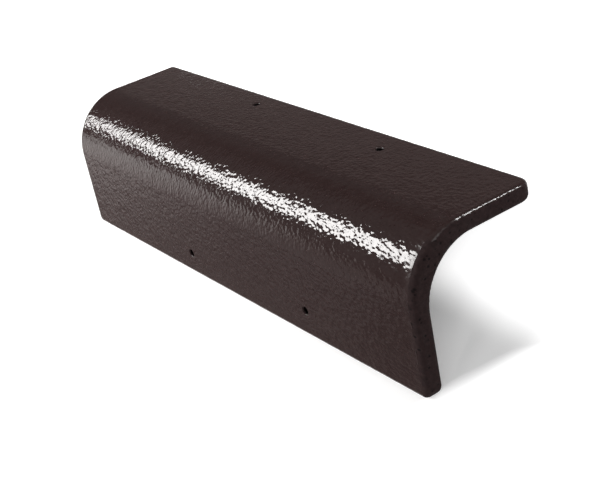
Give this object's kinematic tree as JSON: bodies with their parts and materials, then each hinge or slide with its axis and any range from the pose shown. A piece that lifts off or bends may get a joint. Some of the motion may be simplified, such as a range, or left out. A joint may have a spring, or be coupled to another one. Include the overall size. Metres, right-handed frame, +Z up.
{
  "type": "verge tile",
  "caption": "Angled concrete verge tile with a large rounded bend, which covers the edge of a roof at the gable and is nailed through both legs.",
  "frame": {"origin": "centre of the footprint on the floor, midway along the tile, standing on both tips with the bend up", "axes": "+X along the tile from its head to its tail, +Y from the side leg to the cover leg, +Z up"},
  "size_m": [0.42, 0.1404, 0.0612],
  "materials": {
    "coated_concrete": "dark brown glossy coating over fine-grained pressed concrete"
  },
  "bodies": {
    "root": {"verge_tile": "coated_concrete"}
  },
  "joints": []
}
